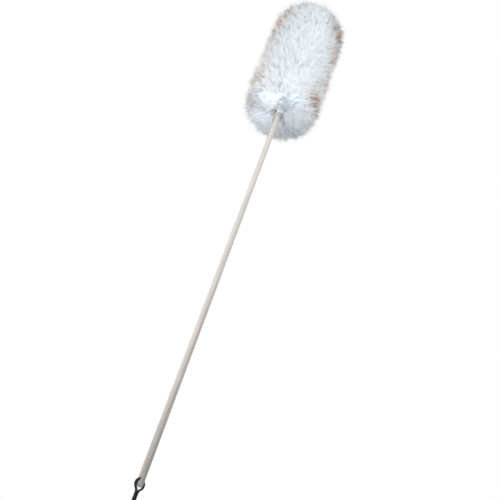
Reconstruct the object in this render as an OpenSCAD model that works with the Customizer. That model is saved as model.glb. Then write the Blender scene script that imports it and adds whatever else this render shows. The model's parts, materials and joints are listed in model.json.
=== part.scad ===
// Long-handled lambswool duster.
// The handle stands along Z with the wool head at the top. The origin is on the
// handle's axis, in the middle of the stretch that a hand holds.

/* [Handle] */
// Diameter of the wooden handle
handle_d = 12.7; // [11:0.1:13.5]
// Height of the middle of the hand's grip above the handle's butt end
grip_height = 100; // [60:5:160]
// Rounding of the butt end's edge
butt_round = 2; // [1:0.5:3]

/* [Hang hole] */
// Diameter of the cross hole that the thong runs through
hang_hole_d = 6.5; // [6.5:0.1:7.5]
// Height of the cross hole's centre above the butt end
hang_hole_height = 11; // [9:0.5:11.5]
// Depth of the countersink at each mouth of the hole
countersink = 2; // [1.5:0.5:2.5]

/* [Wool head] */
// Distance from the butt end to the lowest wool
head_start = 976; // [600:1:1400]
// Length of the wool head
head_l = 420; // [300:5:500]
// Diameter of the wool head just above its lower edge
head_d = 188; // [160:1:220]
// How much wider the wool is at the top than at the bottom
head_flare = 14; // [0:1:24]
// Number of turns that the shearling strip makes around the handle
turns = 12; // [8:1:14]
// Thickness of the strip's skin
skin_t = 2.5; // [1.5:0.1:4]

/* [Collar] */
// Outer diameter of the pale collar below the strip
collar_d = 15.6; // [14.5:0.1:18]
// Length of the collar
collar_l = 30; // [20:1:40]

/* [Thong] */
// Diameter of the leather lace
lace_d = 3.4; // [3:0.1:3.6]
// Diameter of the knot below the butt end
knot_d = 11; // [10:0.5:12]

/* [Hidden] */
$fn = 64;
slack = 0.3;                        // gap between soft pieces that lie on each other
tube_sides = 8;                     // sides of the lace's tube
butt_z = -grip_height;
hole_z = butt_z + hang_hole_height;
head_z = butt_z + head_start;
strip_h = 44;                       // height of the strip's lower end above the lowest wool
strip_below_top = 40;               // distance from the strip's upper end to the head's top
strip_z = head_z + strip_h;
strip_l = head_l - strip_h - strip_below_top;
turn_pitch = strip_l / turns;       // height of one turn of the strip
turn_gap = 1;                       // gap between the leather of one turn and the next
skin_r = handle_d / 2 + slack + skin_t;
pile_r = skin_r + slack;
tip_over = 4;                       // how far the handle's upper end stands above the strip
tip_z = strip_z + strip_l + tip_over;
patch_t = 2.5;                      // thickness of the round patch on the handle's upper end
crown_z = tip_z + patch_t + slack;
collar_play = 0.05;                 // gap between the collar and the handle
tack_d = 1.3;
tack_l = 7;
tack_head_d = 4.2;
tack_head_t = 0.8;
tack_count = 3;
tack_in = 8;                        // distance from each ring of tacks to the strip's end
tack_turn = 60;                     // turn of the first tack of each ring from +X
brad_d = 1.5;
brad_l = 6;
brad_head_t = 0.5;
brad_proud = 0.2;                   // how far the brad's head stands out of the collar
nail_d = 2;
nail_l = 26;
nail_head_d = 6;
nail_head_t = 1;
knot_drop = 41;                     // depth of the knot's middle below the hole's centre
knot_z = hole_z - knot_drop;
tail_sunk = 1;                      // how far each cut end of the lace starts inside the knot
past = 1;                           // how far a cutting tool reaches out of the wood

// The lace's route through the cross hole, from the knot up one side and down the
// other, measured from the hole's centre. It follows a ring of 9 mm radius, which
// passes through the hole without a sharp bend, and closes in below the butt end.
HITCH_SIDE = [
    [1.9, -knot_drop], [1.9, -36], [1.9, -31], [1.9, -26], [2.4, -21.5], [4.2, -17.6],
    [6.8, -14.2], [8.7, -10.9], [9.1, -7.5], [8.5, -4.4], [6.7, -1.6], [3.6, 0.5]
];
HITCH_TOP = 1.3;

// The lace's route around the hanging loop, from the knot down and back up to it,
// measured from the knot's middle
LOOP_ROUTE = [
    [-1.9, 0, -1], [-2.8, 0.4, -5], [-5.6, 0.9, -9.5], [-8.8, 1.4, -14.5], [-11.6, 1.8, -21],
    [-13.8, 2, -28], [-15.2, 1.8, -36], [-15.8, 1.3, -44], [-15.6, 0.7, -52], [-14.2, 0, -60],
    [-11.4, -0.6, -67], [-7.2, -0.9, -73], [-2, -0.8, -76], [3.2, -0.3, -74.5],
    [7.4, 0.3, -69.5], [10.2, 0.7, -62.5], [11.6, 0.8, -54.5], [11.8, 0.4, -46.5],
    [11, -0.3, -38.5], [9.4, -1.1, -30.5], [7.2, -1.7, -23.5], [4.8, -1.7, -17],
    [2.8, -1.2, -11.5], [2.1, -0.5, -6], [1.9, 0, -1]
];

// The two cut ends of the lace: where each leaves the knot, and its length and lean
TAIL_LENGTHS = [13, 10];
TAIL_LEANS = [[-35, -50], [30, 55]];   // turn about X and about Y from straight down

function turn_name(k) = str("wool_turn_", k < 10 ? "0" : "", k);

// --- the outline of the wool ---

low_h = 26;      // height of the rounding at the lower edge
low_in = 44;     // how far the lower edge comes in
high_h = 34;     // height of the rounding at the upper edge
high_in = 60;    // how far the upper edge comes in
mouth_r = 16;    // radius of the hollow around the collar
mouth_h = 34;    // height up to which the hollow keeps that radius
mouth_edge = [30, 14];  // radius and height at which the hollow starts to widen
crown_r = head_d / 2 + head_flare / 2 - high_in;  // where the crown meets the last turn's wool

function quarter(t) = 1 - sqrt(max(0, 1 - t * t));

// Radius of the wool at height h above the lowest wool
function wool_r(h) =
    head_d / 2 + head_flare / 2 * pow(h / head_l, 2)
    - low_in * quarter(max(0, (low_h - h) / low_h))
    - high_in * quarter(max(0, (h - head_l + high_h) / high_h));

// Outline points from height h0 to h1, without the first ones if first is above 0
function wool_outline(h0, h1, steps, first = 0) =
    [for (i = [first:steps]) let (h = h0 + (h1 - h0) * i / steps) [wool_r(h), head_z + h]];

// --- the swept lace ---

function unit(v) = v / norm(v);

// Direction of the route at point i
function heading(route, i) =
    unit(route[min(i + 1, len(route) - 1)] - route[max(i - 1, 0)]);

// A closed tube along a route that stays clear of lying flat along Y
module tube(route, d, sides) {
    rings = len(route);
    points = [
        for (i = [0:rings - 1])
            let (t = heading(route, i), u = unit(cross([0, 1, 0], t)), v = cross(t, u))
            for (s = [0:sides - 1])
                route[i] + d / 2 * (cos(360 * s / sides) * u + sin(360 * s / sides) * v)
    ];
    walls = [
        for (i = [0:rings - 2])
            for (s = [0:sides - 1])
                let (a = i * sides + s, b = i * sides + (s + 1) % sides)
                [a, b, b + sides, a + sides]
    ];
    first = [for (s = [sides - 1:-1:0]) s];
    last = [for (s = [0:sides - 1]) (rings - 1) * sides + s];
    polyhedron(points, concat([first], walls, [last]));
}

// --- the sub-parts ---

// Dowel with a rounded butt end and the countersunk cross hole for the thong
module handle() {
    r = handle_d / 2;
    color("burlywood")
    difference() {
        rotate_extrude()
            polygon(concat(
                [[0, butt_z]],
                [for (a = [-90:15:0])
                    [r - butt_round + butt_round * cos(a), butt_z + butt_round + butt_round * sin(a)]],
                [[r, tip_z], [0, tip_z]]
            ));
        translate([0, 0, hole_z])
            rotate([0, 90, 0]) {
                cylinder(d = hang_hole_d, h = handle_d + 2 * past, center = true);
                for (side = [0, 180])
                    rotate([side, 0, 0])
                        translate([0, 0, r - countersink])
                            cylinder(
                                d1 = hang_hole_d,
                                d2 = hang_hole_d + 4 * countersink,
                                h = 2 * countersink
                            );
            }
    }
}

// Pale sleeve with a rounded lower lip, which hides the strip's lower end
module collar() {
    inner = handle_d / 2 + collar_play;
    outer = collar_d / 2;
    lip = (outer - inner) / 2;
    low = strip_z - slack - collar_l;
    color("whitesmoke")
    rotate_extrude()
        polygon(concat(
            [for (a = [180:15:360]) [inner + lip + lip * cos(a), low + lip + lip * sin(a)]],
            [[outer, low + collar_l], [inner, low + collar_l]]
        ));
}

// Small nail across the collar's wall, which holds it on the handle
module collar_brad() {
    color("silver")
    translate([0, collar_d / 2 + brad_proud, strip_z - collar_l / 2])
        rotate([90, 0, 0]) {
            cylinder(d = brad_d, h = brad_l);
            cylinder(d = 2 * brad_d, h = brad_head_t);
        }
}

// Leather of the shearling strip, wound around the handle in a helix
module skin_strip() {
    steps = 24;
    last = (turns - 1) * steps;
    r_in = handle_d / 2 + slack;
    width = turn_pitch - turn_gap;
    color("tan") {
        points = [
            for (i = [0:last])
                let (a = 360 * i / steps, z = strip_z + turn_pitch * i / steps)
                for (c = [[r_in, 0], [r_in, width], [skin_r, width], [skin_r, 0]])
                    [c[0] * cos(a), c[0] * sin(a), z + c[1]]
        ];
        sides = [
            for (i = [0:last - 1])
                for (s = [0:3])
                    let (a = 4 * i + s, b = 4 * i + (s + 1) % 4)
                    [a, b, b + 4, a + 4]
        ];
        polyhedron(points, concat([[3, 2, 1, 0]], sides, [[for (s = [0:3]) 4 * last + s]]));
    }
}

// Ring of tacks through the strip into the handle, with their heads sunk in the leather
module tacks(z) {
    color("silver")
    for (i = [0:tack_count - 1])
        rotate([0, 0, tack_turn + 360 * i / tack_count])
            translate([skin_r, 0, z])
                rotate([0, -90, 0]) {
                    cylinder(d = tack_d, h = tack_l);
                    cylinder(d = tack_head_d, h = tack_head_t);
                }
}

module lower_tacks() {
    tacks(strip_z + tack_in);
}

module upper_tacks() {
    tacks(strip_z + strip_l - tack_in);
}

// Round patch of shearling leather on the handle's upper end
module crown_patch() {
    color("tan")
    translate([0, 0, tip_z])
        cylinder(r = skin_r, h = patch_t);
}

// Nail through the patch into the handle's end
module crown_nail() {
    color("silver")
    translate([0, 0, crown_z - slack]) {
        translate([0, 0, -nail_l]) cylinder(d = nail_d, h = nail_l);
        translate([0, 0, -nail_head_t]) cylinder(d = nail_head_d, h = nail_head_t);
    }
}

// Wool of the patch, a plug in the middle of the head's upper end
module wool_crown() {
    color("aliceblue")
    translate([0, 0, crown_z])
        cylinder(r = crown_r - slack, h = head_z + head_l - crown_z);
}

// Wool of one turn of the strip; the first turn hangs down around the collar,
// and the last one stands up around the crown
module wool_turn(k) {
    h0 = strip_h + (k - 1) * turn_pitch;
    h1 = h0 + turn_pitch;
    color("aliceblue")
    rotate_extrude()
        if (k == 1)
            polygon(concat(
                [[pile_r, head_z + h1], [pile_r, head_z + h0]],
                [[mouth_r, head_z + mouth_h], [mouth_edge[0], head_z + mouth_edge[1]]],
                wool_outline(0, low_h, 8),
                wool_outline(h0, h1, 3)
            ));
        else if (k == turns)
            polygon(concat(
                [[pile_r, head_z + h0]],
                wool_outline(h0, head_l - high_h, 2),
                wool_outline(head_l - high_h, head_l, 8, 1),
                [[crown_r, crown_z], [pile_r, crown_z]]
            ));
        else
            polygon(concat([[pile_r, head_z + h0]], wool_outline(h0, h1, 3), [[pile_r, head_z + h1]]));
}

// Lace through the cross hole, with both of its lower ends in the knot
module thong_hitch() {
    left = [for (p = HITCH_SIDE) [-p[0], 0, p[1]]];
    right = [for (i = [len(HITCH_SIDE) - 1:-1:0]) [HITCH_SIDE[i][0], 0, HITCH_SIDE[i][1]]];
    color("black")
    translate([0, 0, hole_z])
        tube(concat(left, [[0, 0, HITCH_TOP]], right), lace_d, tube_sides);
}

// Overhand knot that ties both strands together below the butt end
module thong_knot() {
    color("black")
    translate([0, 0, knot_z])
        sphere(d = knot_d);
}

// The lace's two cut ends, which stick out of the knot
module thong_tails() {
    color("black")
    for (i = [0, 1])
        translate([0, 0, knot_z])
            rotate([TAIL_LEANS[i][0], TAIL_LEANS[i][1], 0])
                translate([0, 0, tail_sunk - knot_d / 2 - TAIL_LENGTHS[i]])
                    cylinder(d = lace_d, h = TAIL_LENGTHS[i]);
}

// Hanging loop below the knot
module thong_loop() {
    color("black")
    translate([0, 0, knot_z])
        tube(LOOP_ROUTE, lace_d, tube_sides);
}

handle();
collar();
collar_brad();
skin_strip();
lower_tacks();
upper_tacks();
crown_patch();
crown_nail();
wool_crown();
for (k = [1:turns])
    wool_turn(k);
thong_hitch();
thong_knot();
thong_tails();
thong_loop();
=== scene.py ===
"""Long-handled lambswool duster: wool locks, wood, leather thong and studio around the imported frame."""

import json
import math

import bpy
import numpy as np
from mathutils import Matrix, Vector


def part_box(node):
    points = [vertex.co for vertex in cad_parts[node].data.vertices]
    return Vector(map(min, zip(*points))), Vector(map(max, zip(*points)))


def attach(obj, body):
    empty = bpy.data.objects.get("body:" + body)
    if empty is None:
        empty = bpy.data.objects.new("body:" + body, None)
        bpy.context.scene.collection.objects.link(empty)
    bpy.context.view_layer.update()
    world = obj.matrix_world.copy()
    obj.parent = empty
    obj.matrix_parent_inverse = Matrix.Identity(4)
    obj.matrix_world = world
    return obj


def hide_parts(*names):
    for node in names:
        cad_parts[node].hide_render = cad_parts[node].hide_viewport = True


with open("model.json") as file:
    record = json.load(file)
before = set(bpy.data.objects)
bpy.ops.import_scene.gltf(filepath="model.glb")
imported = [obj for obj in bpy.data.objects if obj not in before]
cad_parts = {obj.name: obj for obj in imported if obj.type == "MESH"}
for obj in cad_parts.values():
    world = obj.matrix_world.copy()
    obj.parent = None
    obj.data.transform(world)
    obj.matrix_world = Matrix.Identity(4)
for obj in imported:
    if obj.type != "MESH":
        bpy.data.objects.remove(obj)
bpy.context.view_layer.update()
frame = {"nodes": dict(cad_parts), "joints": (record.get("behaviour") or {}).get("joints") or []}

MM = 0.001

# ---------------------------------------------------------------- places taken from the frame

HANDLE_LOW, HANDLE_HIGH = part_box("handle")
BUTT = Vector((0, 0, HANDLE_LOW.z))
HEAD_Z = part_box("wool_turn_01")[0].z
HEAD_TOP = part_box("wool_crown")[1].z
HEAD_L = HEAD_TOP - HEAD_Z
SKIN_LOW, SKIN_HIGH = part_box("skin_strip")
SKIN_R = SKIN_HIGH.y
TIP_Z = HANDLE_HIGH.z
CROWN_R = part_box("wool_crown")[1].x
TURNS = 12  # turns of the skin strip, each with its own pile
HOLE = Vector(frame["joints"][0]["pos_m"])
LACE_D = 3.4 * MM


# ---------------------------------------------------------------- camera and studio

VIEW_TURN = math.radians(39)     # heading of the camera, from +Y towards +X
VIEW_RISE = math.radians(38.35)  # the camera looks up along the handle from below its butt end
VIEW_ROLL = math.radians(19.23)  # turn of the camera about its own line of sight
BUTT_IN_VIEW = Vector((-0.183, -0.389, 1.144))  # right of, above and in front of the camera
LENS, SENSOR = 50, 36            # focal length and sensor width in millimetres
NEAREST, FURTHEST = 0.01, 50     # range of the camera in metres

AIR_COLOUR = (0.96, 0.985, 1, 1)  # soft light from all around
AIR_STRENGTH = 1.1
FLOOR_Z = BUTT.z - 1.0
FLOOR_SIDE = 14
FLOOR_COLOUR = (0.83, 0.83, 0.83, 1)
FLOOR_ROUGHNESS = 0.9

# Softboxes: side in metres, power in watts, and full angle of the beam in degrees
KEY_LIGHT = (0.9, 5.6, 80)
FILL_LIGHT = (0.7, 1.65, 50)
REAR_LIGHT = (0.8, 1.6, 60)


def camera():
    """The camera, and its ways to the right, up and forward."""
    forward = Vector((
        math.sin(VIEW_TURN) * math.cos(VIEW_RISE),
        math.cos(VIEW_TURN) * math.cos(VIEW_RISE),
        math.sin(VIEW_RISE),
    ))
    level = forward.cross(Vector((0, 0, 1))).normalized()
    upright = level.cross(forward)
    right = level * math.cos(VIEW_ROLL) + upright * math.sin(VIEW_ROLL)
    up = upright * math.cos(VIEW_ROLL) - level * math.sin(VIEW_ROLL)
    place = BUTT - right * BUTT_IN_VIEW.x - up * BUTT_IN_VIEW.y - forward * BUTT_IN_VIEW.z
    lens = bpy.data.cameras.new("camera")
    lens.lens = LENS
    lens.sensor_width = SENSOR
    lens.clip_start = NEAREST
    lens.clip_end = FURTHEST
    made = bpy.data.objects.new("camera", lens)
    bpy.context.scene.collection.objects.link(made)
    turn = Matrix((right, up, -forward)).transposed()
    made.matrix_world = Matrix.Translation(place) @ turn.to_4x4()
    bpy.context.scene.camera = made
    return right, up, forward


RIGHT, UP, FORWARD = camera()


def area_light(name, place, target, size, power, spread):
    """A square softbox; spread is the full angle of its beam in degrees."""
    data = bpy.data.lights.new(name, "AREA")
    data.size = size
    data.energy = power
    data.spread = math.radians(spread)
    made = bpy.data.objects.new(name, data)
    made.visible_camera = False
    made.location = place
    made.rotation_mode = "QUATERNION"
    made.rotation_quaternion = (target - place).to_track_quat("-Z", "Y")
    bpy.context.scene.collection.objects.link(made)


def surroundings():
    """Soft light from all around, and plain white behind the object."""
    scene = bpy.context.scene
    scene.view_settings.view_transform = "Standard"
    world = bpy.data.worlds.new("studio")
    world.use_nodes = True
    nodes, links = world.node_tree.nodes, world.node_tree.links
    nodes.clear()
    out = nodes.new("ShaderNodeOutputWorld")
    seen = nodes.new("ShaderNodeBackground")
    seen.inputs["Color"].default_value = (1, 1, 1, 1)
    soft = nodes.new("ShaderNodeBackground")
    soft.inputs["Color"].default_value = AIR_COLOUR
    soft.inputs["Strength"].default_value = AIR_STRENGTH
    which = nodes.new("ShaderNodeLightPath")
    mix = nodes.new("ShaderNodeMixShader")
    links.new(which.outputs["Is Camera Ray"], mix.inputs[0])
    links.new(soft.outputs[0], mix.inputs[1])
    links.new(seen.outputs[0], mix.inputs[2])
    links.new(mix.outputs[0], out.inputs["Surface"])
    scene.world = world


def on_head(share):
    """A place on the handle's line, at a share of the head's height."""
    return Vector((0, 0, HEAD_Z + HEAD_L * share))


def lights():
    """A key light for the handle, a fill for the wool, and a light behind the head."""
    head = on_head(0.35)
    lower = BUTT * 0.65 + head * 0.35
    key = lower - RIGHT * 1.05 - FORWARD * 1.2
    area_light("key", key, lower, *KEY_LIGHT)
    upper = on_head(0.62)
    fill = upper - FORWARD * 1.9 + RIGHT * 0.55 + UP * 0.25
    area_light("fill", fill, upper, *FILL_LIGHT)
    rear = head + FORWARD * 1.6 + UP * 0.6
    area_light("rear", rear, head, *REAR_LIGHT)


def ground():
    """The floor, well below the thong."""
    bpy.ops.mesh.primitive_plane_add(size=FLOOR_SIDE, location=(0, 0, FLOOR_Z))
    floor = bpy.context.object
    floor.name = "floor"
    pale = bpy.data.materials.new("floor_paint")
    pale.use_nodes = True
    paint = pale.node_tree.nodes["Principled BSDF"]
    paint.inputs["Base Color"].default_value = FLOOR_COLOUR
    paint.inputs["Roughness"].default_value = FLOOR_ROUGHNESS
    floor.data.materials.append(pale)


surroundings()
lights()
ground()


# ---------------------------------------------------------------- material helpers

class Paint:
    """A Principled material with short calls for the nodes that feed it."""

    def __init__(self, name, **sockets):
        self.material = bpy.data.materials.new(name)
        self.material.use_nodes = True
        self.nodes = self.material.node_tree.nodes
        self.links = self.material.node_tree.links
        self.shader = self.nodes["Principled BSDF"]
        for socket, value in sockets.items():
            self.shader.inputs[socket.replace("_", " ")].default_value = value

    def link(self, source, target):
        self.links.new(source, target)

    def place(self, scale=(1, 1, 1), shift=(0, 0, 0)):
        """Coordinates in the row frame, stretched by scale and then shifted."""
        coords = self.nodes.new("ShaderNodeTexCoord")
        mapping = self.nodes.new("ShaderNodeMapping")
        mapping.inputs["Scale"].default_value = scale
        mapping.inputs["Location"].default_value = shift
        self.link(coords.outputs["Object"], mapping.inputs["Vector"])
        return mapping.outputs[0]

    def noise(self, where, scale, detail=3.0, roughness=0.55, distortion=0.0):
        made = self.nodes.new("ShaderNodeTexNoise")
        made.inputs["Scale"].default_value = scale
        made.inputs["Detail"].default_value = detail
        made.inputs["Roughness"].default_value = roughness
        made.inputs["Distortion"].default_value = distortion
        self.link(where, made.inputs["Vector"])
        return made.outputs[0]

    def ramp(self, value, stops, smooth=False):
        made = self.nodes.new("ShaderNodeValToRGB")
        ramp = made.color_ramp
        ramp.interpolation = "EASE" if smooth else "LINEAR"
        while len(ramp.elements) < len(stops):
            ramp.elements.new(0.5)
        for element, (position, colour) in zip(ramp.elements, stops):
            element.position = position
            if isinstance(colour, (int, float)):
                colour = (colour, colour, colour)
            element.color = (*colour, 1)
        self.link(value, made.inputs[0])
        return made.outputs[0]

    def mix(self, factor, a, b, kind="MIX"):
        made = self.nodes.new("ShaderNodeMix")
        made.data_type = "RGBA"
        made.blend_type = kind
        for value, socket in ((factor, made.inputs[0]), (a, made.inputs[6]), (b, made.inputs[7])):
            if isinstance(value, bpy.types.NodeSocket):
                self.link(value, socket)
            else:
                socket.default_value = value if isinstance(value, float) else (*value, 1)
        return made.outputs[2]

    def bump(self, height, strength, distance):
        made = self.nodes.new("ShaderNodeBump")
        made.inputs["Strength"].default_value = strength
        made.inputs["Distance"].default_value = distance
        self.link(height, made.inputs["Height"])
        self.link(made.outputs[0], self.shader.inputs["Normal"])

    def colour(self, source):
        self.link(source, self.shader.inputs["Base Color"])

    def roughness(self, source):
        self.link(source, self.shader.inputs["Roughness"])


# ---------------------------------------------------------------- materials

def wood():
    p = Paint("dowel_wood", Specular_IOR_Level=0.35)
    fibres = p.noise(p.place((1, 1, 0.02)), 2600, 4, 0.6)
    bands = p.noise(p.place((1, 1, 0.035)), 330, 3, 0.5, 0.4)
    blotch = p.noise(p.place((1, 1, 0.25)), 22, 2, 0.5)
    base = p.ramp(bands, [
        (0.3, (0.47, 0.43, 0.39)), (0.55, (0.535, 0.505, 0.47)), (0.75, (0.57, 0.545, 0.52)),
    ])
    fine = p.ramp(fibres, [(0.32, (0.70, 0.66, 0.62)), (0.5, (0.97, 0.96, 0.95)), (1, (1, 1, 1))])
    base = p.mix(0.6, base, fine, "MULTIPLY")
    soil = p.ramp(blotch, [(0.35, (0.90, 0.885, 0.87)), (0.7, (1, 1, 1))])
    base = p.mix(0.7, base, soil, "MULTIPLY")
    split = p.nodes.new("ShaderNodeSeparateXYZ")
    bare = HEAD_Z - BUTT.z  # the handle is darker towards its butt end: partly wear from use, partly painted shade for light falling off away from the head
    p.link(p.place((1, 1, 1 / bare), (0, 0, -BUTT.z / bare)), split.inputs[0])
    # partly wear, partly painted shade: darker at the butt, paler towards the head
    wear_and_shade = p.ramp(split.outputs[2], [
        (0.0, (0.50, 0.49, 0.48)), (0.10, (0.64, 0.625, 0.61)), (0.2, (0.78, 0.765, 0.75)),
        (0.36, (0.90, 0.89, 0.88)), (0.56, (0.95, 0.945, 0.94)), (1.0, (0.97, 0.965, 0.96)),
    ])
    p.colour(p.mix(1.0, base, wear_and_shade, "MULTIPLY"))
    p.roughness(p.ramp(fibres, [(0.3, 0.62), (0.7, 0.46)]))
    p.bump(fibres, 0.35, 0.0002)
    return p.material


def collar_plastic():
    p = Paint("collar_plastic", Specular_IOR_Level=0.45)
    cloud = p.noise(p.place(), 90, 3)
    p.colour(p.ramp(cloud, [(0.3, (0.80, 0.765, 0.74)), (0.7, (0.88, 0.865, 0.85))]))
    p.roughness(p.ramp(p.noise(p.place(), 700, 2), [(0.35, 0.36), (0.7, 0.5)]))
    p.bump(p.noise(p.place(), 1500, 2), 0.15, 0.0001)
    return p.material


def steel():
    p = Paint("tack_steel", Metallic=1.0)
    cloud = p.noise(p.place(), 900, 3)
    p.colour(p.ramp(cloud, [(0.3, (0.48, 0.48, 0.49)), (0.7, (0.66, 0.66, 0.67))]))
    p.roughness(p.ramp(cloud, [(0.3, 0.32), (0.7, 0.5)]))
    return p.material


def skin_leather():
    p = Paint("sheepskin", Specular_IOR_Level=0.3)
    cloud = p.noise(p.place(), 140, 4)
    p.colour(p.ramp(cloud, [(0.3, (0.56, 0.45, 0.32)), (0.7, (0.72, 0.62, 0.48))]))
    p.roughness(p.ramp(cloud, [(0.3, 0.85), (0.7, 0.7)]))
    p.bump(p.noise(p.place(), 1800, 3), 0.4, 0.0003)
    return p.material


def lace_leather():
    p = Paint("black_lace", Specular_IOR_Level=0.14, Coat_Weight=0.06, Coat_Roughness=0.16)
    grain = p.nodes.new("ShaderNodeTexVoronoi")
    grain.feature = "DISTANCE_TO_EDGE"
    grain.inputs["Scale"].default_value = 1500
    p.link(p.place((1, 1, 0.7)), grain.inputs["Vector"])
    cloud = p.noise(p.place(), 260, 4)
    p.colour(p.ramp(cloud, [(0.3, (0.004, 0.0035, 0.004)), (0.75, (0.011, 0.011, 0.013))]))
    p.roughness(p.ramp(cloud, [(0.3, 0.24), (0.7, 0.40)]))
    p.bump(grain.outputs["Distance"], 0.35, 0.0002)
    return p.material


# The wool's map: across, the natural colour of a lock; along, from root to tip
WOOL_MAP = "OFBake"
WOOL_COLUMNS = 32


def wool_fibre():
    p = Paint("wool_fibre", Roughness=0.85, Specular_IOR_Level=0.2, Sheen_Weight=0.25, Sheen_Roughness=0.4)
    where = p.nodes.new("ShaderNodeUVMap")
    where.uv_map = WOOL_MAP
    split = p.nodes.new("ShaderNodeSeparateXYZ")
    p.link(where.outputs[0], split.inputs[0])
    across, along = split.outputs[0], split.outputs[1]
    tip = p.ramp(across, [
        (0.0, (0.87, 0.935, 0.99)), (0.30, (0.91, 0.955, 0.995)), (0.55, (0.84, 0.90, 0.965)),
        (0.64, (0.62, 0.64, 0.68)), (0.72, (0.34, 0.345, 0.37)), (0.80, (0.80, 0.70, 0.62)),
        (0.90, (0.58, 0.44, 0.34)), (1.0, (0.28, 0.20, 0.155)),
    ])
    root = p.ramp(across, [
        (0.0, (0.83, 0.925, 0.99)), (0.55, (0.83, 0.915, 0.98)), (1.0, (0.86, 0.87, 0.88)),
    ])
    reach = p.ramp(along, [(0.05, 0.0), (0.55, 1.0)], smooth=True)
    weathered = p.ramp(along, [(0.72, (1, 1, 1)), (0.96, (0.84, 0.785, 0.74))])
    p.colour(p.mix(1.0, p.mix(reach, root, tip), weathered, "MULTIPLY"))
    return p.material


WOOD = wood()
LACE = lace_leather()
WOOL = wool_fibre()


def finish_cad():
    """Materials of the pieces that are shown as they are in the CAD."""
    looks = {
        "handle": WOOD, "collar": collar_plastic(), "skin_strip": skin_leather(),
        "collar_brad": steel(),
    }
    looks["crown_patch"] = looks["skin_strip"]
    for name in ("lower_tacks", "upper_tacks", "crown_nail"):
        looks[name] = looks["collar_brad"]
    for name, look in looks.items():
        for place in frame["nodes"][name].material_slots:
            place.material = look


finish_cad()


# ---------------------------------------------------------------- meshes from arrays

def new_mesh(name, points, corners, sizes, material, uv=None, normals=None):
    """A smooth mesh object from its points, the corners of all its faces, and each face's size."""
    mesh = bpy.data.meshes.new(name)
    mesh.vertices.add(len(points))
    mesh.vertices.foreach_set("co", np.ascontiguousarray(points, np.float32).ravel())
    mesh.loops.add(len(corners))
    mesh.loops.foreach_set("vertex_index", np.ascontiguousarray(corners, np.int32))
    mesh.polygons.add(len(sizes))
    starts = np.concatenate([[0], np.cumsum(sizes)[:-1]]).astype(np.int32)
    mesh.polygons.foreach_set("loop_start", starts)
    mesh.polygons.foreach_set("use_smooth", np.ones(len(sizes), bool))
    if uv is not None:
        layer = mesh.uv_layers.new(name=WOOL_MAP)
        layer.data.foreach_set("uv", np.ascontiguousarray(uv, np.float32).ravel())
    if normals is not None:
        layer = mesh.attributes.new("custom_normal", "FLOAT_VECTOR", "POINT")
        layer.data.foreach_set("vector", np.ascontiguousarray(normals, np.float32).ravel())
    mesh.update(calc_edges=True)
    mesh.materials.append(material)
    made = bpy.data.objects.new(name, mesh)
    bpy.context.scene.collection.objects.link(made)
    return made


def unit(v):
    return v / np.maximum(np.linalg.norm(v, axis=-1, keepdims=True), 1e-12)


# ---------------------------------------------------------------- the thong

# The lace's route through the cross hole, in millimetres from the hole's centre: across, and up
HITCH_SIDE = [
    (1.9, -41), (1.9, -36), (1.9, -31), (1.9, -26), (2.0, -21.5), (3.4, -17.2),
    (6.4, -14.2), (8.7, -10.9), (9.1, -7.5), (8.5, -4.4), (6.7, -1.6), (3.6, 0.5),
]
HITCH_TOP = 1.3

# The lace's route around the hanging loop, in millimetres from the knot's middle
LOOP_ROUTE = [
    (-1.9, 0, -1), (-2.8, 0.4, -5), (-5.6, 0.9, -9.5), (-8.8, 1.4, -14.5), (-11.6, 1.8, -21),
    (-13.8, 2, -28), (-15.2, 1.8, -36), (-15.8, 1.3, -44), (-15.6, 0.7, -52), (-14.2, 0, -60),
    (-11.4, -0.6, -67), (-7.2, -0.9, -73), (-2, -0.8, -76), (3.2, -0.3, -74.5),
    (7.4, 0.3, -69.5), (10.2, 0.7, -62.5), (11.6, 0.8, -54.5), (11.8, 0.4, -46.5),
    (11, -0.3, -38.5), (9.4, -1.1, -30.5), (7.2, -1.7, -23.5), (4.8, -1.7, -17),
    (2.8, -1.2, -11.5), (2.1, -0.5, -6), (1.9, 0, -1),
]
KNOT_LOW, KNOT_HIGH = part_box("thong_knot")
KNOT = (KNOT_LOW + KNOT_HIGH) / 2
KNOT_R = (KNOT_HIGH.z - KNOT_LOW.z) / 2
WRAPS = 2.35                # turns of the lace around its own two strands, in the knot
WRAP_RISE = 2.7 * MM        # height of each turn
WRAP_SLANT = 0.252          # how far one side of a turn lies above its middle, as a share of its radius
WRAP_STEPS = 84
END_STEPS = 18
LOOP_TWIST, KNOT_TWIST, END_TWIST = 2.4, 0.3, 0.6  # turn of the lace about its own line, in radians
END_TAPER = 0.8             # size of a cut end's last section

# The two cut ends: lean about X and about Y in degrees, and length out of the knot in millimetres
CUT_ENDS = [(-35, -50, 13.5), (30, 55, 10.5)]


def smooth_route(route, origin, steps=6):
    """A curve through the route's points, in the row frame and in metres."""
    pts = np.array(route, float) * MM + np.array(origin)
    pts = np.vstack([2 * pts[0] - pts[1], pts, 2 * pts[-1] - pts[-2]])
    out = []
    for a, b, c, d in zip(pts, pts[1:], pts[2:], pts[3:]):
        for t in np.arange(steps) / steps:
            out.append(0.5 * (2 * b + (c - a) * t + (2 * a - 5 * b + 4 * c - d) * t**2
                              + (3 * b - a - 3 * c + d) * t**3))
    return np.array(out + [pts[-2]])


def lace_section(sides=16, wide=LACE_D * 1.22, thick=LACE_D * 1.06):
    """Outline of the lace: a rounded rectangle."""
    a = np.arange(sides) * 2 * math.pi / sides
    squareness = 2.8
    x = np.sign(np.cos(a)) * np.abs(np.cos(a)) ** (2 / squareness) * wide / 2
    y = np.sign(np.sin(a)) * np.abs(np.sin(a)) ** (2 / squareness) * thick / 2
    return np.stack([x, y], 1)


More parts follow.
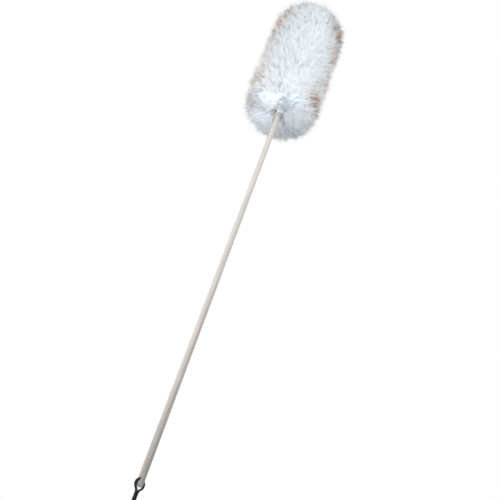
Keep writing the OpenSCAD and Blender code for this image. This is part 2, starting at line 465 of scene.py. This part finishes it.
def lace(name, path, turn=0.0, end_taper=1.0):
    """A mesh of lace along a path, closed at both ends, that turns about its line by turn radians."""
    section = lace_section()
    sides, rings = len(section), len(path)
    heading = unit(np.gradient(path, axis=0))
    across = np.zeros_like(path)
    side = np.array([0.0, 1.0, 0.0])
    for i in range(rings):
        side = unit(side - heading[i] * np.dot(side, heading[i]))
        across[i] = side
    other = np.cross(heading, across)
    angle = np.linspace(0, turn, rings)[:, None]
    u = across * np.cos(angle) + other * np.sin(angle)
    v = other * np.cos(angle) - across * np.sin(angle)
    reach = np.linspace(0, 1, rings)
    size = 1 + 0.035 * np.sin(reach * 41) + 0.02 * np.sin(reach * 97 + 1)  # slightly uneven leather
    size[-1] *= end_taper
    points = (path[:, None] + size[:, None, None] * (
        section[None, :, :1] * u[:, None] + section[None, :, 1:] * v[:, None])).reshape(-1, 3)
    i, s = np.meshgrid(np.arange(rings - 1), np.arange(sides), indexing="ij")
    a, b = i * sides + s, i * sides + (s + 1) % sides
    walls = np.stack([a, b, b + sides, a + sides], -1).reshape(-1)
    first = np.arange(sides)[::-1]
    last = (rings - 1) * sides + np.arange(sides)
    corners = np.concatenate([walls, first, last])
    sizes = np.array([4] * ((rings - 1) * sides) + [sides, sides])
    return new_mesh(name, points, corners, sizes, LACE)


def knot_path():
    """The lace's slanted wraps around its own two strands, drawn in at the knot's top and bottom."""
    a = np.linspace(0, WRAPS * 2 * math.pi, WRAP_STEPS)
    t = np.linspace(-1, 1, WRAP_STEPS)
    r = (KNOT_R - LACE_D * 0.56) * (1 - 0.55 * np.abs(t) ** 7)
    height = -t * WRAP_RISE * WRAPS / 2 + WRAP_SLANT * r * np.cos(a)
    return np.array(KNOT) + np.stack([r * np.cos(a), r * np.sin(a), height], 1)


def cut_end_path(lean_x, lean_y, reach):
    """A cut end of the lace, from inside the knot outwards, which sags a little."""
    turn = Matrix.Rotation(math.radians(lean_y), 3, "Y")
    lean = Matrix.Rotation(math.radians(lean_x), 3, "X")
    way = np.array((turn @ lean) @ Vector((0, 0, -1)))
    steps = np.linspace(2 * MM, (KNOT_R / MM - 1 + reach) * MM, END_STEPS)
    path = np.array(KNOT) + steps[:, None] * way
    path[:, 2] -= 0.9 * MM * ((steps - steps[0]) / (steps[-1] - steps[0])) ** 2
    return path


def thong():
    """One lace: through the cross hole, wrapped knot, hanging loop and two cut ends."""
    left = [(-x, 0, z) for x, z in HITCH_SIDE]
    right = [(x, 0, z) for x, z in reversed(HITCH_SIDE)]
    hitch_path = smooth_route(left + [(0, 0, HITCH_TOP)] + right, HOLE)
    loop_path = smooth_route(LOOP_ROUTE, KNOT)
    hitch = lace("lace_hitch", hitch_path)
    loop = lace("lace_loop", loop_path, LOOP_TWIST)
    knot = lace("lace_knot", knot_path(), KNOT_TWIST)
    ends = [lace("lace_end_%d" % (i + 1), cut_end_path(*end), END_TWIST, END_TAPER)
            for i, end in enumerate(CUT_ENDS)]

    for piece, node in ((hitch, "thong_hitch"), (loop, "thong_loop"), (knot, "thong_knot")):
        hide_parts(node)
    for piece in ends:
        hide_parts("thong_tails")
    for piece in (hitch, loop, knot, *ends):
        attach(piece, "thong")


thong()


# ---------------------------------------------------------------- the wool head

SPACING = 8.3 * MM          # from one lock to the next on the surface
STRANDS = 32                # strands in each lock
STRAND_R = 0.52 * MM        # radius of a strand at its root
FREE = 25 * MM              # length of a lock that stands out of the closed inner pile
END_FREE = 13 * MM          # the same on the face around the collar
END_SPACING = 6.2 * MM      # from one lock to the next there
SUNK = 2.5 * MM             # how deep in the inner pile a lock starts
SIDE_SHADE = 0.8            # how much of a strand's own roundness shows in its shading
FLYAWAYS = 0.30             # share of the strands that are thinner and stick out further
ROW_JITTER = 0.48           # how far a lock is from its row, in rows
TURN_JITTER = 0.45          # how far it is from its place in the row, in places
SWAY, OWN_SWAY = 4, 1.3     # millimetres that locks lean in groups, and that each leans by itself
REACH, REACH_SPREAD = -1.5, 3.6  # millimetres from the outline out to a lock's tip: mean and spread
REACH_LEAST, REACH_MOST = -9, 6
TUFT = 0.74                 # radius of a lock as a share of its spacing
SHORTER = 4.0               # spread in millimetres of how much shorter strands are than their lock
GATHER = (0.15, 0.75)       # how much strands close in towards their lock's tip
THICK = (0.75, 1.3)         # thickness of strands as a share of STRAND_R
FLYAWAY_REACH = 11          # the same for the flyaways: millimetres past the lock's tip at most
FLYAWAY_GATHER = (-0.3, 0.7)
FLYAWAY_THICK = 0.40
RUFFLE = 0.12               # how unevenly strands face the light
COLUMN_EDGE, MAP_EDGE = 0.12, 0.04  # margins of a strand's place on the map, across and along
TIP_ONLY = 4                # power that keeps a speck's colour at its strands' tips
LOW_INSET, HIGH_INSET = 6.5 * MM, 6 * MM  # how much shorter the wool is at the head's two ends
PILE_STEP = 6 * MM          # length along the outline of one row of the inner pile's faces
PILE_LEAST = 0.12           # least share of the wool's length that the inner pile fills
LUMPS = (0.016, 0.010)      # broad and fine unevenness of the pile, as shares of that length
PILE_SIDES = 96
RINGS = np.array([0, 0.3, 0.6, 0.84, 1.0])
THICKNESS = np.array([1.0, 1.0, 0.9, 0.62, 0.0])
LOW_H, LOW_IN = 26 * MM, 44 * MM      # rounding of the head's lower edge: its height and depth
HIGH_H, HIGH_IN = 34 * MM, 60 * MM    # rounding of its upper edge
LOW_STEPS, SIDE_STEPS, HIGH_STEPS = 10, 30, 12

# The hollow around the collar, and the middle of the top: radius and height in metres
MOUTH = np.array([(13, 33), (14.5, 22), (16.5, 14), (21.5, 8), (33, 2)]) * MM
TOP = [(CROWN_R * 0.55, HEAD_L + 1 * MM), (0.0, HEAD_L + 2 * MM)]


def quarter(t):
    """Depth of a quarter circle of radius 1 at a distance t from its start."""
    return 1 - np.sqrt(np.maximum(0, 1 - t * t))


def radius_at(h):
    """Radius of the head at height h, from the widths of the CAD's turns, before its ends are rounded."""
    boxes = [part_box("wool_turn_%02d" % k) for k in range(2, TURNS)]
    heights = [(low.z + high.z) / 2 - HEAD_Z for low, high in boxes]
    widths = [high.y for low, high in boxes]
    slope = (widths[-1] - widths[-4]) / (heights[-1] - heights[-4])
    heights.append(HEAD_L)
    widths.append(widths[-1] + slope * (HEAD_L - heights[-2]) * 1.1)
    return np.interp(h, heights, widths)


def head_outline():
    """Points (radius, height) from the hollow around the collar, round the side, to the top's middle."""
    h = np.concatenate([
        LOW_H * (1 - np.cos(np.linspace(0, math.pi / 2, LOW_STEPS))),
        np.linspace(LOW_H, HEAD_L - HIGH_H, SIDE_STEPS)[1:],
        HEAD_L - HIGH_H + HIGH_H * np.sin(np.linspace(0, math.pi / 2, HIGH_STEPS))[1:],
    ])
    r = radius_at(h) - LOW_IN * quarter(np.maximum(0, (LOW_H - h) / LOW_H))
    r = r - HIGH_IN * quarter(np.maximum(0, (h - HEAD_L + HIGH_H) / HIGH_H))
    return np.vstack([MOUTH, np.stack([r, h], 1), TOP])


OUTLINE = head_outline()
ALONG = np.concatenate([[0], np.cumsum(np.hypot(*np.diff(OUTLINE, axis=0).T))])


def surface(s):
    """Radius and height of the head's surface at a distance s along its outline."""
    return np.interp(s, ALONG, OUTLINE[:, 0]), np.interp(s, ALONG, OUTLINE[:, 1])


def outline_place(h):
    """Distance along the outline at which the side has height h."""
    side = slice(len(MOUTH) + LOW_STEPS - 1, len(OUTLINE) - (HIGH_STEPS - 1) - len(TOP))
    return float(np.interp(h, OUTLINE[side, 1], ALONG[side]))


LOW_FAN, HIGH_FAN = 62 * MM, HEAD_L - 70 * MM
LOW_S, HIGH_S = outline_place(LOW_FAN), outline_place(HIGH_FAN)
SKIN_H = SKIN_LOW.z - HEAD_Z
TIP_H = TIP_Z - HEAD_Z


def skin_height(s):
    """Height on the skin from which the wool at s grows: square to the handle, but fanned at both ends."""
    _, h = surface(s)
    low = SKIN_H + (LOW_FAN - SKIN_H) * (s / LOW_S) ** 1.3
    high = HIGH_FAN + (TIP_H - HIGH_FAN) * ((s - HIGH_S) / (ALONG[-1] - HIGH_S))
    return np.where(s < LOW_S, low, np.where(s > HIGH_S, high, h))


def from_mouth(s, at_mouth, elsewhere):
    """A value that changes from the face around the collar to the head's side."""
    share = np.clip((s / LOW_S - 0.45) / 0.45, 0, 1)
    return at_mouth + (elsewhere - at_mouth) * share * share * (3 - 2 * share)


def end_inset(s):
    """How much shorter the wool is around both rounded ends of the head."""
    low = np.exp(-((s - LOW_S * 0.56) / (LOW_S * 0.25)) ** 2)
    high = np.clip((s - HIGH_S) / (0.4 * (ALONG[-1] - HIGH_S)), 0, 1)
    return LOW_INSET * low + HIGH_INSET * high


def free_length(s):
    """How far the locks at s stand out of the inner pile."""
    return from_mouth(s, END_FREE, FREE)


def on_ring(r, h, turn):
    """Places at a radius, a height above the lowest wool, and a turn about the handle."""
    return np.stack([r * np.cos(turn), r * np.sin(turn), HEAD_Z + h + 0 * turn], -1)


# Patches of naturally coloured wool: turn about the handle in degrees from the camera's right,
# height as a share of the head, half-width in degrees, half-height as a share, strength, darkness
PATCHES = [
    (-20, 0.84, 30, 0.07, 1.00, 1.00),
    (-12, 0.68, 26, 0.09, 0.70, 0.55),
    (-6, 0.42, 22, 0.15, 0.55, 0.35),
    (-20, 0.13, 28, 0.06, 0.85, 0.75),
    (-166, 0.76, 28, 0.12, 0.90, 0.60),
    (-174, 0.48, 24, 0.16, 0.60, 0.35),
    (-168, 0.18, 26, 0.09, 0.85, 0.50),
    (128, 0.40, 30, 0.12, 0.75, 0.70),
    (70, 0.80, 32, 0.10, 0.70, 0.55),
    (95, 0.14, 30, 0.10, 0.60, 0.80),
    (48, 0.42, 26, 0.13, 0.55, 0.45),
]

# The same for grey wool, without the darkness; the row at -172 degrees is painted shade, not grey wool
GREY_AND_SHADE_PATCHES = [
    (-28, 0.97, 24, 0.06, 0.80),
    (-152, 0.93, 24, 0.05, 0.75),
    (-95, 1.02, 60, 0.08, 0.70),
    (-60, 0.93, 20, 0.05, 0.45),
    # painted shade: a grey-blue shadow on the face left of the collar
    (-172, 0.03, 22, 0.05, 0.85),
    (110, 0.97, 40, 0.06, 0.45),
    (60, 0.05, 40, 0.06, 0.40),
    (160, 0.62, 25, 0.07, 0.35),
]
PATCH_ZERO = math.atan2(-math.sin(VIEW_TURN), math.cos(VIEW_TURN))

# Places across the colour map
GREY = (0.60, 0.72)
SPECK = (0.60, 0.74)
BROWN = 0.78                # where brown starts; it gets darker from here to 1
SPECK_LOCKS = 0.06          # share of the locks that have grey tips outside the patches
SPECK_STRANDS = 0.8         # share of such a lock's strands that have them


def waves(turn, h, seed):
    """Smooth pattern between about -1 and 1 over the head's surface."""
    rng = np.random.default_rng(seed)
    total = 0
    for _ in range(7):
        k, q, phase = rng.integers(1, 7), rng.uniform(-75, 75), rng.uniform(0, 2 * math.pi)
        total = total + np.sin(k * turn + q * h + phase)
    return total / 3.2


def patch_chance(turn, h, patch):
    """How likely a strand is to be coloured by a patch."""
    middle, level, wide, high, strength = patch
    away = (turn - PATCH_ZERO - math.radians(middle) + math.pi) % (2 * math.pi) - math.pi
    return strength * np.exp(-(away / math.radians(wide)) ** 2 - ((h / HEAD_L - level) / high) ** 2)


def strand_tints(rng, turn, h, lock):
    """Each strand's place across the colour map, and which strands have only dark tips.

    The map goes from white by grey to brown.
    """
    locks, n = len(turn), len(lock)
    white = 0.5 * np.clip(rng.random(locks)[lock] + rng.normal(0, 0.12, n), 0, 1)
    speck = (rng.random(locks) < SPECK_LOCKS)[lock] & (rng.random(n) < SPECK_STRANDS)
    tint = np.where(speck, rng.uniform(*SPECK, n), white)
    for *patch, dark in PATCHES + [(*grey, None) for grey in GREY_AND_SHADE_PATCHES]:
        chance = patch_chance(turn, h, patch)
        lock_share = np.clip(chance + rng.normal(0, 0.22, locks) * (chance > 0.06), 0, 1)
        brown = BROWN + (1 - BROWN) * np.clip((dark or 0) * rng.uniform(0.5, 1.1, n), 0, 1)
        colour = rng.uniform(*GREY, n) if dark is None else brown
        taken = rng.random(n) < lock_share[lock]
        tint = np.where(taken, colour, tint)
        speck = speck & ~taken
    return tint, speck


def lock_places(rng, start, end):
    """Outline distances and turns of the locks between two places on the outline."""
    spacing = float(from_mouth((start + end) / 2, END_SPACING, SPACING))
    rows = max(1, round((end - start) / spacing))
    step = (end - start) / rows
    s_all, turn_all = [], []
    for row in range(rows):
        middle = start + (row + 0.5) * step
        count = max(3, round(2 * math.pi * float(surface(middle)[0]) / spacing))
        s = middle + rng.uniform(-ROW_JITTER, ROW_JITTER, count) * step
        first = rng.uniform(0, 2 * math.pi)
        places = np.arange(count) + rng.uniform(-TURN_JITTER, TURN_JITTER, count)
        turn = first + places * 2 * math.pi / count
        s_all.append(s)
        turn_all.append(turn % (2 * math.pi))
    return np.concatenate(s_all), np.concatenate(turn_all)


def lock_lines(rng, start, end):
    """Skin and tip of each lock between two places on the outline, with its turn, height and side ways."""
    s, turn = lock_places(rng, start, end)
    r, h = surface(s)
    tip = on_ring(r, h, turn)
    skin = on_ring(np.full(len(s), SKIN_R), skin_height(s), turn)
    way = unit(tip - skin)
    round_way = np.stack([-np.sin(turn), np.cos(turn), 0 * turn], -1)
    up_way = np.cross(way, round_way)
    lean = (waves(turn, h, 5) * SWAY + rng.normal(0, OWN_SWAY, len(s))) * MM
    tilt = (waves(turn, h, 6) * SWAY + rng.normal(0, OWN_SWAY, len(s))) * MM
    past = np.clip(rng.normal(REACH, REACH_SPREAD, len(s)), REACH_LEAST, REACH_MOST)
    reach = past * MM * free_length(s) / FREE - end_inset(s)
    tip = tip + way * reach[:, None] + round_way * lean[:, None] + up_way * tilt[:, None]
    return s, skin, tip, turn, h, round_way, up_way


def strand_paths(rng, s, skin, tip, round_way, up_way, lock):
    """The line of every strand, from the inner pile to its tip, and how thick it is."""
    n, locks = len(lock), len(skin)
    way = unit(tip - skin)
    around = rng.uniform(0, 2 * math.pi, n)
    off = from_mouth(s, END_SPACING, SPACING)[lock] * TUFT * np.sqrt(rng.random(n))
    round_off, up_off = np.cos(around) * off, np.sin(around) * off
    spread = round_off[:, None] * round_way[lock] + up_off[:, None] * up_way[lock]
    grown = np.clip(1 - (free_length(s) + SUNK) / np.linalg.norm(tip - skin, axis=1), 0.05, 1)[lock]
    grown = grown * rng.uniform(0.97, 1.03, n)
    middle = skin[lock] + (tip - skin)[lock] * grown[:, None]
    narrower = np.hypot(middle[:, 0], middle[:, 1]) / np.hypot(tip[:, 0], tip[:, 1])[lock]
    base = middle + spread * np.minimum(1, narrower)[:, None]
    shorter = np.abs(rng.normal(0, SHORTER, n)) * MM * (free_length(s) / FREE)[lock]
    gather = rng.uniform(*GATHER, n)
    thick = rng.uniform(*THICK, n)
    stray = rng.random(n) < FLYAWAYS
    shorter = np.where(stray, -rng.uniform(0, FLYAWAY_REACH, n) * MM, shorter)
    gather = np.where(stray, rng.uniform(*FLYAWAY_GATHER, n), gather)
    thick = np.where(stray, FLYAWAY_THICK, thick)
    end_point = tip[lock] + spread * (1 - gather)[:, None] - way[lock] * shorter[:, None]

    t = RINGS[None, :, None]
    path = base[:, None] + (end_point - base)[:, None] * t
    bulge = (t * (1 - t) * 0.9) * spread[:, None]
    phase = rng.uniform(0, 2 * math.pi, locks)[lock] + rng.normal(0, 0.6, n)
    swing = (rng.uniform(0.2, 0.9, locks)[lock] * MM)[:, None, None]
    wave_a = np.sin(phase[:, None, None] + t * 5.5) * t * swing
    wave_b = np.cos(phase[:, None, None] * 1.3 + t * 4.6) * t * swing
    path = path + bulge + wave_a * round_way[lock][:, None] + wave_b * up_way[lock][:, None]
    return path, thick


def strand_rings(rng, path, thick, up_way, round_way):
    """Three corners around the line at each ring of every strand but its tip."""
    heading = unit(np.gradient(path, axis=1))
    u = unit(np.cross(heading, up_way[:, None] + 0.1 * round_way[:, None]))
    v = np.cross(heading, u)
    first = rng.uniform(0, 2 * math.pi, len(path))
    turn = first[:, None, None] + np.arange(3)[None, None] * 2 * math.pi / 3
    width = (STRAND_R * thick[:, None] * THICKNESS[None])[:, :-1, None, None]
    return path[:, :-1, None] + width * (
        np.cos(turn)[..., None] * u[:, :-1, None] + np.sin(turn)[..., None] * v[:, :-1, None])


def strand_faces():
    """Corners of one strand's faces: walls of four corners, then the tip's and the root's of three."""
    last = 3 * (len(RINGS) - 2)
    walls = [(i + k, i + (k + 1) % 3, i + 3 + (k + 1) % 3, i + 3 + k)
             for i in range(0, last, 3) for k in range(3)]
    tips = [(last + k, last + (k + 1) % 3, last + 3) for k in range(3)]
    return walls, tips + [(2, 1, 0)]


def strand_map(corner, walls, tint, tip_only):
    """Map places of all corners: across by the strand's tint, and along from its root to its tip."""
    share = np.array([(k % 3 + j) / 3 for k in range(walls) for j in (0, 1, 1, 0)]
                     + [(k + j) / 3 for k in range(3) for j in (0, 1, 0.5)] + [0, 0.5, 1])
    tip = corner.max()
    height = [1.0 if c == tip else RINGS[c // 3] for c in corner[:-3]]
    height = np.array(height + [0.0, 0.0, 0.02])
    column = np.floor(np.clip(tint, 0, 0.999) * WOOL_COLUMNS)
    across = (column[:, None] + COLUMN_EDGE + (1 - 2 * COLUMN_EDGE) * share[None]) / WOOL_COLUMNS
    power = np.where(tip_only, TIP_ONLY, 1)[:, None]
    up = MAP_EDGE + (1 - 2 * MAP_EDGE) * height[None] ** power
    return np.stack([across, up], -1).reshape(-1, 2)


def strands(rng, start, end):
    """Points, corners, face sizes, map places and normals of the strands between two places."""
    s, skin, tip, turn, h, round_way, up_way = lock_lines(rng, start, end)
    lock = np.repeat(np.arange(len(skin)), STRANDS)
    n = len(lock)
    path, thick = strand_paths(rng, s, skin, tip, round_way, up_way, lock)
    ring = strand_rings(rng, path, thick, up_way[lock], round_way[lock])
    points = np.concatenate([ring.reshape(n, -1, 3), path[:, -1:]], 1)
    outward = unit(tip - skin)[lock][:, None] + rng.normal(0, RUFFLE, (n, 1, 3))
    side = unit(ring - path[:, :-1, None]).reshape(n, -1, 3)
    normals = unit(np.concatenate([outward + SIDE_SHADE * side, outward], 1))

    walls, caps = strand_faces()
    corner = np.array([c for face in walls + caps for c in face])
    corners = (np.arange(n)[:, None] * points.shape[1] + corner[None]).ravel()
    sizes = np.tile([4] * len(walls) + [3] * len(caps), n)
    uv = strand_map(corner, len(walls), *strand_tints(rng, turn, h, lock))
    return points.reshape(-1, 3), corners, sizes, uv, normals.reshape(-1, 3)


def inner_pile(start, end):
    """Closed ring of matted wool under the locks, between two places on the outline."""
    rows = max(2, round((end - start) / PILE_STEP)) + 1
    around = PILE_SIDES
    s = np.linspace(start, end, rows)
    turn = np.arange(around) * 2 * math.pi / around
    r, h = surface(s)
    k = skin_height(s)
    turn_g, s_g = np.meshgrid(turn, s)
    length = np.hypot(r - SKIN_R, h - k)[:, None]
    lump = np.clip(1 - free_length(s)[:, None] / length, PILE_LEAST, 1)
    lump = lump + LUMPS[0] * waves(turn_g * 3, s_g * 3.1, 11)
    lump = lump + LUMPS[1] * waves(turn_g * 5 + 1, s_g * 5, 12)
    outer_r = SKIN_R + (r[:, None] - SKIN_R) * lump
    outer_h = k[:, None] + (h - k)[:, None] * lump
    outer = on_ring(outer_r, outer_h, turn_g)
    inner_r = np.full_like(turn_g, SKIN_R + 0.6 * MM)
    inner = on_ring(inner_r, np.broadcast_to(k[:, None], turn_g.shape), turn_g)
    if r[-1] < 1 * MM:
        outer[-1] = on_ring(np.full(around, 0.4 * MM), h[-1] - FREE, turn)
        inner[-1] = on_ring(np.full(around, 0.4 * MM), k[-1] + 5 * MM, turn)
    loop = np.concatenate([outer, inner[::-1]])
    n = len(loop)
    i, j = np.meshgrid(np.arange(n), np.arange(around), indexing="ij")
    a, b = i * around + j, i * around + (j + 1) % around
    c, d = ((i + 1) % n) * around + (j + 1) % around, ((i + 1) % n) * around + j
    corners = np.stack([a, b, c, d], -1).reshape(-1)
    sizes = np.full(n * around, 4)
    patch = np.array([(0.1, 0.01), (0.9, 0.01), (0.9, 0.035), (0.1, 0.035)])
    uv = np.tile(patch / [WOOL_COLUMNS, 1], (n * around, 1))
    outward = unit(outer - inner)
    normals = np.concatenate([outward, -outward[::-1]])
    return loop.reshape(-1, 3), corners, sizes, uv, normals.reshape(-1, 3)


def wool_piece(name, node, start, end, seed):
    """One piece of wool, with its pile and strands, in place of the CAD's plain solid."""
    rng = np.random.default_rng(seed)
    parts = [inner_pile(start, end), strands(rng, start, end)]
    offset, corners = 0, []
    for points, corner, _, _, _ in parts:
        corners.append(corner + offset)
        offset += len(points)
    piece = new_mesh(
        name,
        np.concatenate([p[0] for p in parts]),
        np.concatenate(corners),
        np.concatenate([p[2] for p in parts]),
        WOOL,
        np.concatenate([p[3] for p in parts]),
        np.concatenate([p[4] for p in parts]),
    )
    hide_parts(node)
    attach(piece, "duster")


def wool_head():
    """The wool of each turn and of the crown.

    The first and last turns round the head's ends, so each is made as several pieces.
    """
    edges = [0.0]
    edges += [outline_place(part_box("wool_turn_%02d" % k)[0].z - HEAD_Z) for k in range(2, TURNS + 1)]
    crown_edge = float(np.interp(-CROWN_R, -OUTLINE[-8:, 0], ALONG[-8:]))  # on the outline's last points
    edges += [crown_edge, float(ALONG[-1])]
    names = ["wool_turn_%02d" % k for k in range(1, TURNS + 1)] + ["wool_crown"]
    parts = {names[0]: 8, names[TURNS - 1]: 4}
    seed = 100
    for node, start, end in zip(names, edges, edges[1:]):
        count = parts.get(node, 1)
        cuts = np.linspace(start, end, count + 1)
        for i in range(count):
            name = node.replace("wool_", "locks_") + ("" if count == 1 else "_" + "abcdefgh"[i])
            wool_piece(name, node, cuts[i], cuts[i + 1], seed)
            seed += 1


wool_head()
